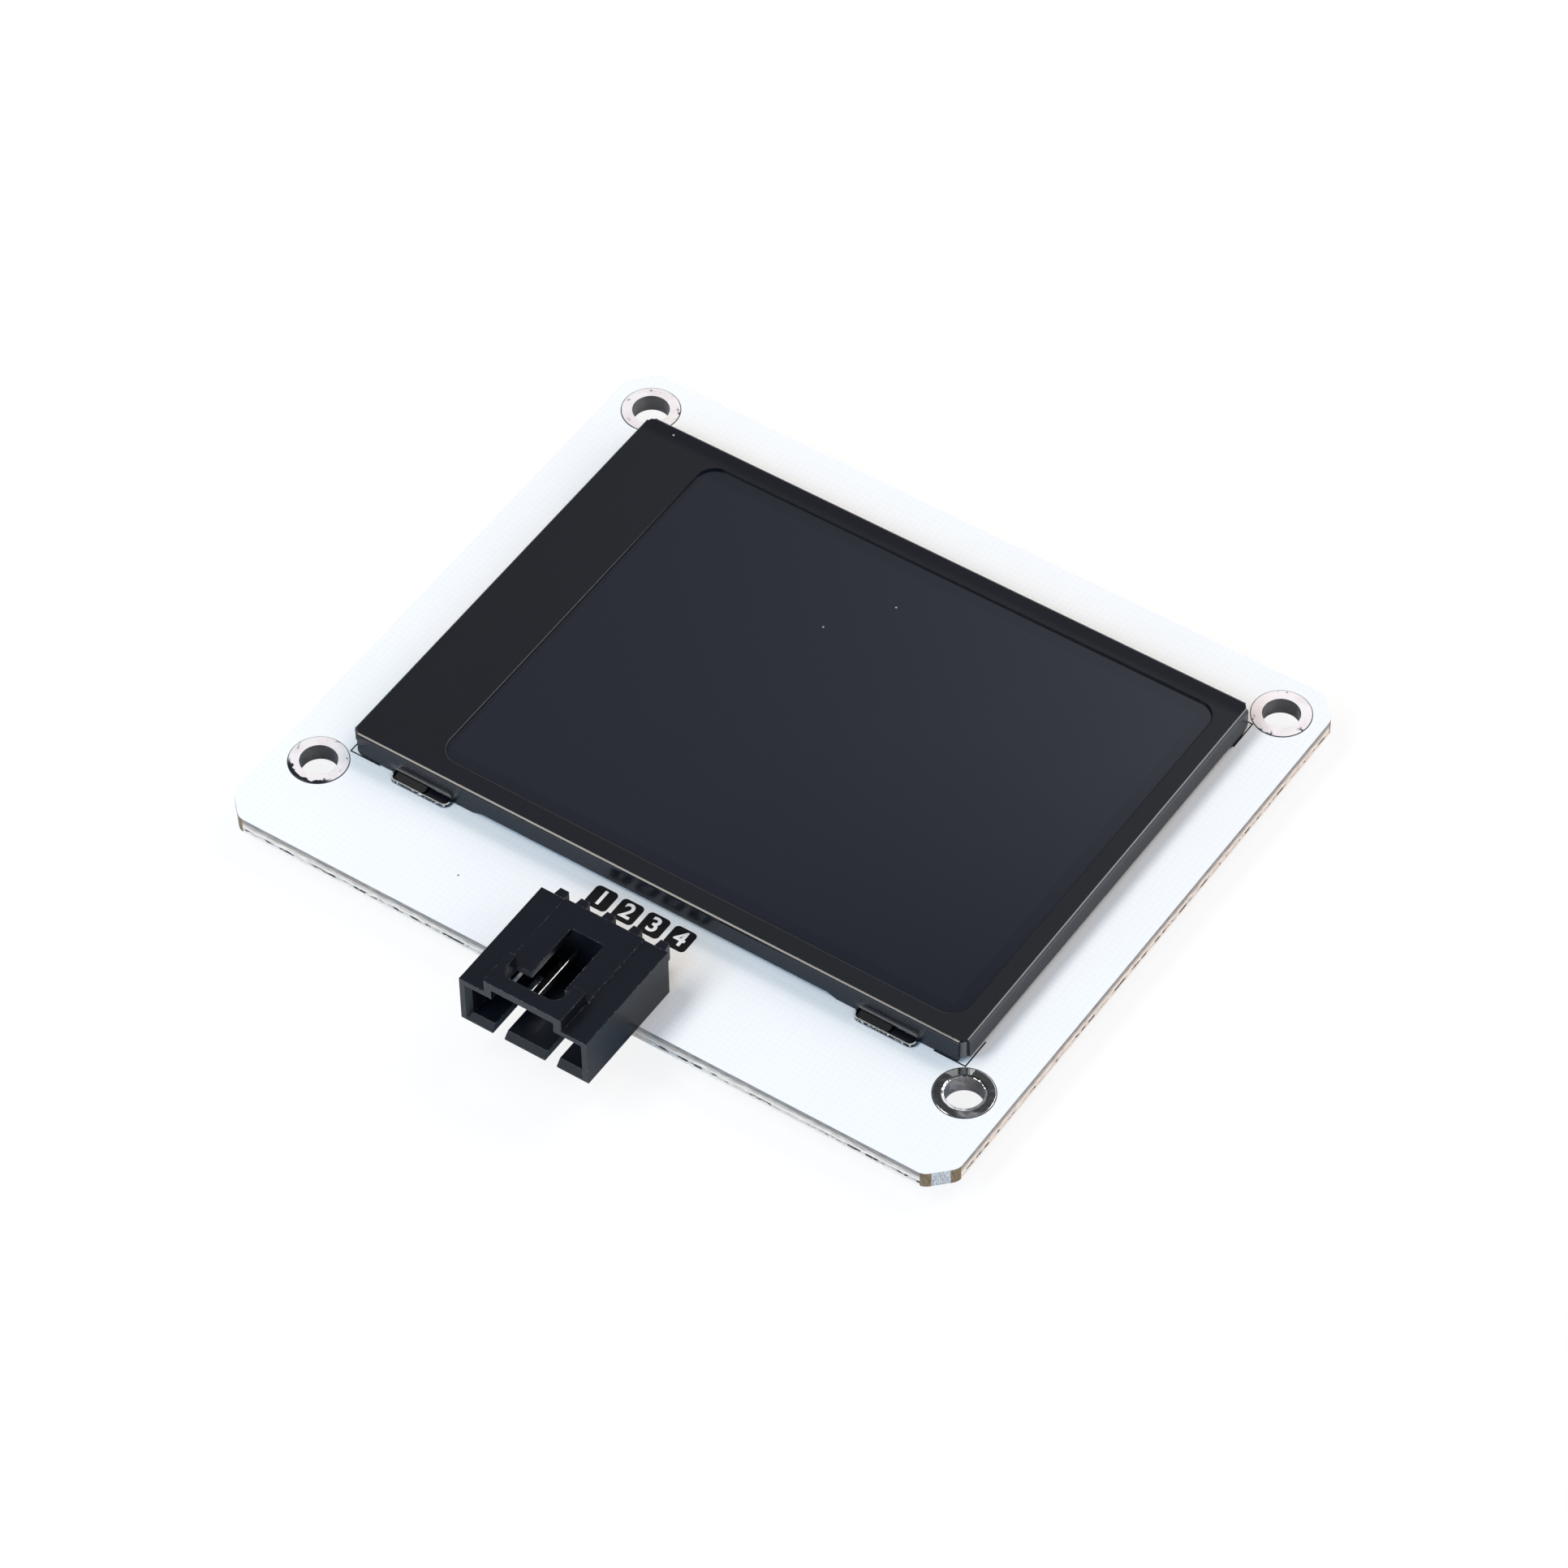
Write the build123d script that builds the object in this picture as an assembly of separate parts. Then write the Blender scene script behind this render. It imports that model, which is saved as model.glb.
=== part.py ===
from build123d import *
import os

# Colour display module: a white circuit board carries a landscape display in a stamped
# black frame, and a right-angle latching header overhangs the front edge.
# Millimetres. The origin is the centre of the four mounting holes on the board's underside.
# +X runs along the header's edge, +Y away from the header, +Z up through the display.

# Circuit board and its four plated mounting holes
board_width = 70.0
board_depth = 59.6
board_thickness = 1.6
board_corner_chamfer = 2.0
board_corner_blend = 1.15
hole_margin_side = 3.75
hole_margin_front = 8.5
hole_margin_back = 3.75
hole_diameter = 3.2
hole_pad_diameter = 5.0
plating_thickness = 0.05

# Display outline, stamped frame and its opening
display_width = 59.46
display_depth = 42.72
display_offset_x = 0.1
sheet = 0.2
bend_radius = 0.3
corner_relief = 0.65
plate_corner_radius = 0.35
rim_left = 7.33
rim_right = 1.93
rim_front = 1.96
rim_back = 1.96
opening_radius = 1.8
wall_gap_low = 0.05
wall_gap_high = 0.38
wall_step_from_pocket = 5.3
wall_step_run = 0.9
wall_end_radius = 0.5
wall_end_radius_tight = 0.12
side_foot_width = 1.9
side_foot_inset = 0.9
opening_lip = 0.1
flex_notch_width = 22.0
flex_notch_top_gap = 0.15
flex_notch_chamfer = 0.2

# Snap pockets pressed out of the long walls below a window, and the catches that sit in them
pocket_end_distance = 7.23
pocket_length = 5.8
pocket_reach = 0.95
pocket_corner_radius = 0.6
pocket_rim = 0.16
pocket_rim_height = 0.26
pocket_floor = 0.06
pocket_window_height = 0.6
pocket_brow = 0.12
catch_length = 3.0
catch_offset = -1.0
catch_corner_radius = 0.4
catch_tip_low = 0.15
catch_tip_high = 0.21
catch_clearance = 0.06

# Layers of the display, from the board upwards
tape_thickness = 0.15
reflector_thickness = 0.1
light_guide_thickness = 0.55
diffuser_thickness = 0.06
prism_thickness = 0.07
rim_tape_thickness = 0.06
rear_polariser_thickness = 0.15
glass_thickness = 0.4
front_polariser_thickness = 0.17
bezel_gap = 0.03

# Display inner pieces in plan
moulding_clearance = 0.06
moulding_wall = 0.75
moulding_corner_radius = 0.5
glass_clearance = 0.15
active_margin_x = 0.62
active_margin_y = 1.04
filter_ledge = 4.5
polariser_inset = 0.4
guide_margin = 0.75
guide_clearance = 0.1
film_inset = 0.08
guide_light_edge = 2.6
rim_tape_margin = 0.35
rim_tape_clearance = 0.12
reflector_inset = 0.25
tape_strip_depth = 7.5
tape_strip_inset = 2.0

# Backlight lamps on their strip
lamp_count = 4
lamp_length = 3.8
lamp_depth = 0.6
lamp_height = 0.45
lamp_rim = 0.09
lamp_end_wall = 0.2
lamp_air_gap = 0.05
strip_thickness = 0.08
strip_depth = 2.4
strip_end_margin = 1.6
strip_clearance = 0.15

# Driver chip on the glass ledge and the folded display flex
driver_length = 18.0
driver_depth = 1.2
driver_thickness = 0.3
driver_inset = 2.2
flex_width = 20.0
flex_thickness = 0.1
flex_bond = 1.4
flex_fold_reach = 0.1
flex_tail = 9.0

# Latching header: housing
header_offset_x = 0.25
header_width = 12.15
header_height = 4.9
header_overhang = 7.0
header_seat = 4.2
side_wall = 0.87
floor_wall = 0.8
roof_wall = 0.5
rear_wall = 2.3
lead_in_depth = 0.5
lead_in_side = 0.38
lead_in_floor = 0.5
floor_slot_inner = 1.9
floor_slot_width = 1.2
floor_slot_length = 6.4
floor_edge_radius = 0.22
panel_width = 7.65
panel_rise = 0.15
panel_front = 3.5
latch_width = 7.45
latch_rise = 1.3
latch_wall = 0.75
latch_bar = 1.3
latch_right_arm_extra = 0.42
latch_opening_radius = 1.1
latch_edge_radius = 0.15
window_width = 3.15
window_corner_radius = 0.12
rib_places = (-4.5, -2.5, 0.0, 2.54, 5.15)
rib_base = 1.05
rib_tip = 0.8
rib_reach = 0.95
rib_height = 1.9
rib_top_gap = 0.25

# Latching header: contact pins and their solder
pin_count = 4
pin_pitch = 2.54
pin_side = 0.64
pin_height = 2.5
pin_tip_setback = 2.6
pin_tip_chamfer = 0.2
pin_tail_row = 5.7
pin_bend_radius = 0.85
pin_tail_below = 1.5
pin_fit = 0.02
pin_hole_diameter = 1.05
solder_pad_diameter = 1.8
solder_tip_diameter = 1.0
solder_height = 0.75
solder_pad_height = 0.05

# Microcontroller in a leaded square package
controller_place = (0.0, 4.0)
controller_side = 7.0
controller_height = 1.4
controller_standoff = 0.1
controller_taper = 8.0
controller_dimple_diameter = 0.7
controller_dimple_depth = 0.06
controller_dimple_inset = 1.1
controller_lead_count = 12
controller_lead_pitch = 0.5
controller_lead_width = 0.22
lead_reach = 1.0
lead_foot = 0.5
lead_shoulder = 0.2
lead_thickness = 0.12

# Small three-lead and five-lead packages
small_package_length = 2.9
small_package_width = 1.4
small_package_height = 1.0
small_package_standoff = 0.08
small_lead_width = 0.4
small_lead_reach = 0.6
small_lead_foot = 0.35
small_lead_shoulder = 0.1
small_lead_pitch = 0.95
regulator_x = 9.0
regulator_row_gap = 9.0
transistor_place = (-15.0, -6.0)

# Chip capacitors, chip resistors and the crystal
chip_length = 1.6
chip_width = 0.8
capacitor_height = 0.8
resistor_height = 0.45
chip_cap_length = 0.3
chip_cap_step = 0.02
crystal_length = 3.2
crystal_width = 2.5
crystal_height = 0.7
crystal_base_height = 0.35
crystal_lid_inset = 0.15
crystal_corner_radius = 0.3
crystal_place = (-9.0, 4.0)
regulator_capacitor_gap = 4.5
pull_up_row_gap = 6.0
capacitor_places = {
    "supply_left": (-6.4, 10.2, 0),
    "supply_right": (6.4, 10.2, 0),
    "crystal_left": (-9.0, 7.2, 0),
    "crystal_right": (-9.0, 0.8, 0),
}
pull_up_places = {"clock_pull_up": -3.0, "data_pull_up": -5.5}
resistor_places = {
    "lamp_current": (-18.8, -6.0, 90),
    "gate": (-11.4, -6.0, 90),
    "reset_pull_up": (6.8, -2.2, 0),
}

# Places that follow from the sizes above
hole_spacing_x = board_width - 2 * hole_margin_side
hole_spacing_y = board_depth - hole_margin_front - hole_margin_back
board_front = -hole_spacing_y / 2 - hole_margin_front
board_back = board_front + board_depth
board_top = board_thickness
hole_places = {
    "front_left": (-hole_spacing_x / 2, -hole_spacing_y / 2),
    "front_right": (hole_spacing_x / 2, -hole_spacing_y / 2),
    "back_left": (-hole_spacing_x / 2, hole_spacing_y / 2),
    "back_right": (hole_spacing_x / 2, hole_spacing_y / 2),
}
header_frame = Pos(header_offset_x, board_front, board_top)
pin_places = [(index - (pin_count - 1) / 2) * pin_pitch for index in range(pin_count)]
display_frame = Pos(display_offset_x, 0, board_top)
tail_row_y = board_front + pin_tail_row
regulator_place = (regulator_x, tail_row_y + regulator_row_gap)
capacitor_places["input"] = (regulator_x + regulator_capacitor_gap, regulator_place[1], 90)
capacitor_places["output"] = (regulator_x - regulator_capacitor_gap, regulator_place[1], 90)
for name, x in pull_up_places.items():
    resistor_places[name] = (x, tail_row_y + pull_up_row_gap, 90)

# Levels above the board's top face
display_floor = tape_thickness
reflector_top = display_floor + reflector_thickness
guide_top = reflector_top + light_guide_thickness
diffuser_top = guide_top + diffuser_thickness
lower_prism_top = diffuser_top + prism_thickness
ledge_top = lower_prism_top + prism_thickness
rim_tape_top = ledge_top + rim_tape_thickness
rear_polariser_top = rim_tape_top + rear_polariser_thickness
array_top = rear_polariser_top + glass_thickness
filter_top = array_top + glass_thickness
front_polariser_top = filter_top + front_polariser_thickness
bezel_under = front_polariser_top + bezel_gap
bezel_top = bezel_under + sheet

# Plan sizes of the stamped frame and of the layers inside it
pocket_place = display_width / 2 - pocket_end_distance
wall_step_place = pocket_place - wall_step_from_pocket
opening_x = (rim_left - display_width / 2, display_width / 2 - rim_right)
opening_y = (rim_front - display_depth / 2, display_depth / 2 - rim_back)
active_x = (opening_x[0] + active_margin_x, opening_x[1] - active_margin_x)
active_y = (opening_y[0] + active_margin_y, opening_y[1] - active_margin_y)
moulding_width = display_width - 2 * (sheet + moulding_clearance)
moulding_depth = display_depth - 2 * (sheet + moulding_clearance)
recess_width = moulding_width - 2 * moulding_wall
recess_depth = moulding_depth - 2 * moulding_wall
glass_width = recess_width - 2 * glass_clearance
glass_depth = recess_depth - 2 * glass_clearance
glass_left = -glass_width / 2
glass_right = glass_width / 2
filter_left = glass_left + filter_ledge
guide_right = active_x[1] + guide_margin
guide_left = active_x[0] - guide_light_edge
view_x = (active_x[0] - rim_tape_margin, active_x[1] + rim_tape_margin)
view_y = (active_y[0] - rim_tape_margin, active_y[1] + rim_tape_margin)
guide_front = view_y[0] - guide_margin
guide_back = view_y[1] + guide_margin
guide_middle = (guide_front + guide_back) / 2
lamp_pitch = (guide_back - guide_front) / lamp_count
lamp_right = guide_left - lamp_air_gap
lamp_left = lamp_right - lamp_depth
strip_right = lamp_right
strip_left = strip_right - strip_depth
strip_length = (lamp_count - 1) * lamp_pitch + lamp_length + 2 * strip_end_margin


def block(x_range, y_range, z_range):
    """A box between two limits along each axis."""
    ranges = (x_range, y_range, z_range)
    middle = [(low + high) / 2 for low, high in ranges]
    size = [high - low for low, high in ranges]
    return Pos(*middle) * Box(*size)


def plate(x_range, y_range, z_range, radius):
    """A flat plate with rounded corners between two limits along each axis."""
    middle = [(low + high) / 2 for low, high in (x_range, y_range)]
    outline = RectangleRounded(x_range[1] - x_range[0], y_range[1] - y_range[0], radius)
    return extrude(Pos(*middle, z_range[0]) * outline, z_range[1] - z_range[0])


def centred(size, middle=0.0):
    """The two limits of a length around its middle."""
    return (middle - size / 2, middle + size / 2)


def disc(diameter, place, z_range):
    """An upright round bar between two levels."""
    return extrude(Pos(*place, z_range[0]) * Circle(diameter / 2), z_range[1] - z_range[0])


def save(shape, name):
    """One sub-part, in one file that carries its name."""
    shape.label = name
    export_step(shape, f"parts/{name}.step")


# Circuit board

def circuit_board():
    """The laminate, drilled for the plated holes and for the header's pins."""
    outline = Rectangle(board_width, board_depth)
    outline = chamfer(outline.vertices(), board_corner_chamfer)
    outline = fillet(outline.vertices(), board_corner_blend)
    board = extrude(Pos(0, (board_front + board_back) / 2) * outline, board_thickness)
    for place in hole_places.values():
        board -= disc(hole_diameter + 2 * plating_thickness, place, (0, board_top))
    for x in pin_places:
        board -= disc(pin_hole_diameter, (header_offset_x + x, tail_row_y), (0, board_top))
    return board


def plated_hole(place):
    """The barrel of a mounting hole with its ring on each face of the board."""
    rings = disc(hole_pad_diameter, place, (-plating_thickness, board_top + plating_thickness))
    middle = disc(hole_pad_diameter, place, (0, board_top))
    barrel = disc(hole_diameter + 2 * plating_thickness, place, (0, board_top))
    bore = disc(hole_diameter, place, (-plating_thickness, board_top + plating_thickness))
    return rings - middle + barrel - bore


# Stamped display frame

def bezel_wall(length, lower_edge, end_radii):
    """One folded wall along X with its outer face on y = 0, and the bend above it."""
    bend_level = bezel_top - bend_radius
    corners = [(-length / 2, bend_level), *lower_edge, (length / 2, bend_level)]
    outline = make_face(Polyline(*corners, close=True))
    for side, radius in zip((-1, 1), end_radii):
        low = outline.vertices().filter_by(lambda v: v.Y < bend_level - sheet)
        outline = fillet(low.sort_by(lambda v: side * v.X)[-1], radius)
    wall = Pos(0, sheet, 0) * extrude(Plane.XZ * outline, sheet)
    outer = CenterArc((bend_radius, bend_level), bend_radius, 90, 90)
    inner = CenterArc((bend_radius, bend_level), bend_radius - sheet, 90, 90)
    section = make_face([outer, Line(outer @ 1, inner @ 1), inner, Line(inner @ 0, outer @ 0)])
    bend = Pos(-length / 2, 0, 0) * extrude(Plane.YZ * section, length)
    return wall + bend


def snap_pocket(wall, place):
    """The wall with a shallow pocket pressed outwards at its lower edge, under a brow."""
    floor_level = wall_gap_low + pocket_floor
    rim_level = wall_gap_low + pocket_rim_height
    window_top = wall_gap_low + pocket_window_height
    inner_length = pocket_length - 2 * pocket_rim
    inner_reach = pocket_reach - pocket_rim
    inner_radius = pocket_corner_radius - pocket_rim
    outer = RectangleRounded(pocket_length, 2 * pocket_reach, pocket_corner_radius)
    inner = RectangleRounded(inner_length, 2 * inner_reach, inner_radius)
    pocket = extrude(Pos(place, 0, wall_gap_low) * outer, pocket_rim_height)
    pocket -= extrude(Pos(place, 0, floor_level) * inner, pocket_rim_height)
    behind = (sheet, pocket_reach)
    pocket -= block(centred(pocket_length, place), behind, (wall_gap_low, rim_level))
    quarter = Rectangle(pocket_brow, pocket_brow, align=(Align.MAX, Align.MIN))
    section = Pos(0, window_top) * (Circle(pocket_brow) & quarter)
    brow = Pos(place - inner_length / 2, 0, 0) * extrude(Plane.YZ * section, inner_length)
    wall -= block(centred(inner_length, place), (0, sheet), (floor_level, window_top))
    return wall + pocket + brow


def side_placement(turn):
    """Carries a wall from y = 0 to its side of the display, facing outwards."""
    reach = display_depth / 2 if turn in (0, 180) else display_width / 2
    return Rot(0, 0, turn) * Pos(0, -reach, 0)


def bezel():
    """The black steel frame: flat face, four folded walls, open corners and snap pockets."""
    long_wall = display_width - 2 * corner_relief
    short_wall = display_depth - 2 * corner_relief
    step = wall_step_place - wall_step_run / 2, wall_step_place + wall_step_run / 2
    long_edge = [
        (-long_wall / 2, wall_gap_low),
        (-step[1], wall_gap_low),
        (-step[0], wall_gap_high),
        (step[0], wall_gap_high),
        (step[1], wall_gap_low),
        (long_wall / 2, wall_gap_low),
    ]
    foot_end = short_wall / 2 - side_foot_inset
    right_edge = [
        (-short_wall / 2, wall_gap_high),
        (foot_end - side_foot_width, wall_gap_high),
        (foot_end - side_foot_width + wall_gap_high, wall_gap_low),
        (foot_end, wall_gap_low),
        (short_wall / 2, wall_gap_high),
    ]
    notch_top = array_top + flex_thickness + flex_notch_top_gap
    left_edge = [
        (-short_wall / 2, wall_gap_high),
        (-flex_notch_width / 2, wall_gap_high),
        (-flex_notch_width / 2, notch_top - flex_notch_chamfer),
        (-flex_notch_width / 2 + flex_notch_chamfer, notch_top),
        (flex_notch_width / 2 - flex_notch_chamfer, notch_top),
        (flex_notch_width / 2, notch_top - flex_notch_chamfer),
        (flex_notch_width / 2, wall_gap_high),
        (short_wall / 2, wall_gap_high),
    ]
    face_x = centred(display_width - 2 * bend_radius)
    face_y = centred(display_depth - 2 * bend_radius)
    frame = plate(face_x, face_y, (bezel_under, bezel_top), plate_corner_radius)
    long_ends = (wall_end_radius, wall_end_radius_tight)
    short_ends = (wall_end_radius_tight, wall_end_radius)
    for turn in (0, 180):
        wall = bezel_wall(long_wall, long_edge, long_ends)
        for place in (-pocket_place, pocket_place):
            wall = snap_pocket(wall, place)
        frame += side_placement(turn) * wall
    frame += side_placement(90) * bezel_wall(short_wall, right_edge, short_ends)
    frame += side_placement(270) * bezel_wall(short_wall, left_edge, short_ends)
    frame -= plate(opening_x, opening_y, (bezel_under, bezel_top), opening_radius)
    top = frame.faces().filter_by(Axis.Z).sort_by(Axis.Z)[-1]
    frame = fillet(top.inner_wires()[0].edges(), opening_lip)
    return display_frame * frame


# Layers inside the display

def backlight_moulding():
    """The dark moulded frame that holds the light guide, the lamps and the glass."""
    levels = (reflector_top, front_polariser_top)
    body = plate(centred(moulding_width), centred(moulding_depth), levels, moulding_corner_radius)
    body = chamfer(body.faces().sort_by(Axis.Z)[-1].edges(), bend_radius - sheet)
    body -= block(centred(recess_width), centred(recess_depth), (ledge_top, front_polariser_top))
    guide_x = (guide_left - guide_clearance, guide_right + guide_clearance)
    guide_y = (guide_front - guide_clearance, guide_back + guide_clearance)
    body -= block(guide_x, guide_y, (reflector_top, ledge_top))
    pocket_x = (strip_left - strip_clearance, guide_left)
    pocket_y = centred(strip_length + 2 * strip_clearance, guide_middle)
    body -= block(pocket_x, pocket_y, (reflector_top, ledge_top))
    gate_y = centred(flex_notch_width)
    gate_z = (array_top - flex_thickness, front_polariser_top)
    body -= block((-moulding_width / 2, glass_left), gate_y, gate_z)
    for side in (-1, 1):
        for place in (-pocket_place, pocket_place):
            body += snap_catch(place, side)
    return display_frame * body


def snap_catch(place, side):
    """A tongue on a long side of the moulding that reaches into a snap pocket."""
    face = moulding_depth / 2
    root = face - sheet
    reach = display_depth / 2 + pocket_reach - pocket_rim - catch_clearance
    high = wall_gap_low + pocket_window_height - catch_clearance
    middle = place - side * catch_offset
    corners = [
        (root, reflector_top),
        (face, reflector_top),
        (reach, catch_tip_low),
        (reach, catch_tip_high),
        (face, high),
        (root, high),
    ]
    section = make_face(Polyline(*corners, close=True))
    tongue = Pos(middle - catch_length / 2, 0, 0) * extrude(Plane.YZ * section, catch_length)
    outline_y = (root - catch_corner_radius, reach)
    levels = (catch_tip_low, high)
    tongue &= plate(centred(catch_length, middle), outline_y, levels, catch_corner_radius)
    return tongue if side > 0 else mirror(tongue, Plane.XZ)


def display_layers():
    """The flat layers of the display by name."""
    reflector_x = centred(moulding_width - 2 * reflector_inset)
    reflector_y = centred(moulding_depth - 2 * reflector_inset)
    guide_x = (guide_left, guide_right)
    guide_y = (guide_front, guide_back)
    film_x = (guide_left + film_inset, guide_right - film_inset)
    film_y = (guide_front + film_inset, guide_back - film_inset)
    glass_y = centred(glass_depth)
    polariser_x = (filter_left + polariser_inset, glass_right - polariser_inset)
    polariser_y = centred(glass_depth - 2 * polariser_inset)
    tape_x = centred(recess_width - 2 * rim_tape_clearance)
    tape_y = centred(recess_depth - 2 * rim_tape_clearance)
    tape_levels = (ledge_top, rim_tape_top)
    layers = {
        "reflector_film": block(reflector_x, reflector_y, (display_floor, reflector_top)),
        "light_guide": block(guide_x, guide_y, (reflector_top, guide_top)),
        "diffuser_film": block(film_x, film_y, (guide_top, diffuser_top)),
        "lower_prism_film": block(film_x, film_y, (diffuser_top, lower_prism_top)),
        "upper_prism_film": block(film_x, film_y, (lower_prism_top, ledge_top)),
        "rim_tape": block(tape_x, tape_y, tape_levels) - block(view_x, view_y, tape_levels),
        "rear_polariser": block(polariser_x, polariser_y, (rim_tape_top, rear_polariser_top)),
        "array_glass": block((glass_left, glass_right), glass_y, (rear_polariser_top, array_top)),
        "filter_glass": block((filter_left, glass_right), glass_y, (array_top, filter_top)),
        "front_polariser": block(polariser_x, polariser_y, (filter_top, front_polariser_top)),
    }
    return {name: display_frame * layer for name, layer in layers.items()}


def mounting_tape(side):
    """A strip of double-sided tape under the front or back of the display."""
    edge = moulding_depth / 2 - reflector_inset - tape_strip_inset
    y_range = sorted((side * edge, side * (edge - tape_strip_depth)))
    x_range = centred(moulding_width - 2 * (reflector_inset + tape_strip_inset))
    return display_frame * block(x_range, y_range, (0, tape_thickness))


def lamp_strip():
    """The narrow flex that carries the backlight lamps."""
    levels = (reflector_top, reflector_top + strip_thickness)
    strip_y = centred(strip_length, guide_middle)
    return display_frame * block((strip_left, strip_right), strip_y, levels)


def lamp(index):
    """A side-firing backlight lamp with a shallow emitting recess."""
    middle = guide_middle + (index - (lamp_count - 1) / 2) * lamp_pitch
    low = reflector_top + strip_thickness
    body = block((lamp_left, lamp_right), centred(lamp_length, middle), (low, low + lamp_height))
    mouth = block((lamp_right - lamp_rim, lamp_right),
                  centred(lamp_length - 2 * lamp_end_wall, middle),
                  (low + lamp_rim, low + lamp_height - lamp_rim))
    return display_frame * (body - mouth)


def driver_chip():
    """The bare display driver bonded on the glass ledge."""
    left = glass_left + driver_inset
    levels = (array_top, array_top + driver_thickness)
    return display_frame * block((left, left + driver_depth), centred(driver_length), levels)


def display_flex():
    """The flex from the glass ledge, folded round the display's edge and under it."""
    upper = array_top + flex_thickness / 2
    lower = flex_thickness / 2
    fold_x = -display_width / 2 + sheet + flex_fold_reach
    radius = (upper - lower) / 2
    outer_radius = radius + flex_thickness / 2
    inner_radius = radius - flex_thickness / 2
    fold = (fold_x, (upper + lower) / 2)
    outer = CenterArc(fold, outer_radius, 90, 180)
    inner = CenterArc(fold, inner_radius, 90, 180)
    bond_x = glass_left + flex_bond
    tail_x = fold_x + flex_tail
    section = make_face([
        outer,
        Line(outer @ 1, (tail_x, 0)),
        Line((tail_x, 0), (tail_x, flex_thickness)),
        Line((tail_x, flex_thickness), inner @ 1),
        inner,
        Line(inner @ 0, (bond_x, array_top)),
        Line((bond_x, array_top), (bond_x, array_top + flex_thickness)),
        Line((bond_x, array_top + flex_thickness), outer @ 0),
    ])
    strip = extrude(Plane.XZ * section, flex_width)
    return display_frame * (Pos(0, flex_width / 2, 0) * strip)


# Latching header

def header_shell():
    """The housing's outer body: box, raised panel and latch bridge."""
    depth = (-header_overhang, header_seat)
    shell = block(centred(header_width), depth, (0, header_height))
    panel_y = (-panel_front, header_seat)
    panel_z = (header_height, header_height + panel_rise)
    shell += block(centred(panel_width), panel_y, panel_z)
    bridge_y = (-header_overhang, -panel_front)
    bridge_z = (header_height, header_height + latch_rise)
    return shell + plate(centred(latch_width), bridge_y, bridge_z, latch_edge_radius)


def header_lead_in():
    """The flared mouth that guides the plug in."""
    half = header_width / 2
    roof = header_height - roof_wall
    wide = half - side_wall + lead_in_side
    narrow = half - side_wall
    mouth = Plane.XZ.offset(header_overhang)
    throat = Plane.XZ.offset(header_overhang - lead_in_depth)
    low = floor_wall - lead_in_floor
    front = make_face(Polyline((-wide, low), (wide, low), (wide, roof), (-wide, roof), close=True))
    back = make_face(Polyline((-narrow, floor_wall), (narrow, floor_wall), (narrow, roof),
                              (-narrow, roof), close=True))
    return loft([mouth * front, throat * back])


def header_cavity():
    """What is open inside the housing: plug space, latch channel, window and floor slots."""
    front = -header_overhang
    back = header_seat - rear_wall
    roof = header_height - roof_wall
    plug = block(centred(header_width - 2 * side_wall), (front, back), (floor_wall, roof))
    channel_top = header_height + latch_rise - latch_wall
    channel_x = centred(latch_width - 2 * latch_wall)
    channel = block(channel_x, (front, -panel_front), (floor_wall, channel_top))
    cut_y = (front + latch_bar, -panel_front + latch_opening_radius)
    cut_z = (roof, header_height + latch_rise)
    cut_x = (channel_x[0], channel_x[1] - latch_right_arm_extra)
    cut = plate(cut_x, cut_y, cut_z, latch_opening_radius)
    cut -= block(cut_x, (-panel_front, cut_y[1]), cut_z)
    window_y = (-panel_front - window_corner_radius, back)
    window_z = (roof, header_height + panel_rise)
    window = plate(centred(window_width), window_y, window_z, window_corner_radius)
    cavity = plug + channel + cut + window + header_lead_in()
    for side in (-1, 1):
        inner = side * floor_slot_inner
        outer = side * (floor_slot_inner + floor_slot_width)
        cavity += block(sorted((inner, outer)), (front, front + floor_slot_length), (0, floor_wall))
    return cavity


def header_ribs():
    """The tapered ribs behind the housing that stand between the pins."""
    top = header_height - rib_top_gap
    ribs = []
    for place in rib_places:
        outline = make_face(Polyline(
            (place - rib_base / 2, header_seat),
            (place + rib_base / 2, header_seat),
            (place + rib_tip / 2, header_seat + rib_reach),
            (place - rib_tip / 2, header_seat + rib_reach),
            close=True,
        ))
        ribs.append(extrude(Pos(0, 0, top - rib_height) * outline, rib_height))
    return ribs


def header_housing():
    """The moulded housing with its cavity, latch bridge, pin bores and rear ribs."""
    housing = header_shell() - header_cavity()
    lowest = housing.edges().filter_by(Axis.X).group_by(Axis.Z)[0]
    housing = fillet(lowest.group_by(Axis.Y)[0], floor_edge_radius)
    bore = pin_side + 2 * pin_fit
    bore_y = (header_seat - rear_wall, header_seat)
    for x in pin_places:
        housing -= block(centred(bore, x), bore_y, centred(bore, pin_height))
    for rib in header_ribs():
        housing += rib
    return header_frame * housing


def header_pin(x):
    """A square contact pin bent down through the board."""
    tip = -header_overhang + pin_tip_setback
    end = -board_thickness - pin_tail_below
    route = FilletPolyline((x, tip, pin_height), (x, pin_tail_row, pin_height),
                           (x, pin_tail_row, end), radius=pin_bend_radius)
    start = Plane(origin=(x, tip, pin_height), x_dir=(1, 0, 0), z_dir=(0, 1, 0))
    pin = sweep(start * Rectangle(pin_side, pin_side), path=route)
    tip_edges = pin.faces().sort_by(Axis.Y)[0].edges()
    pin = chamfer(tip_edges, pin_tip_chamfer)
    tail_edges = pin.faces().sort_by(Axis.Z)[0].edges()
    pin = chamfer(tail_edges, pin_tip_chamfer)
    return header_frame * pin


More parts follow.
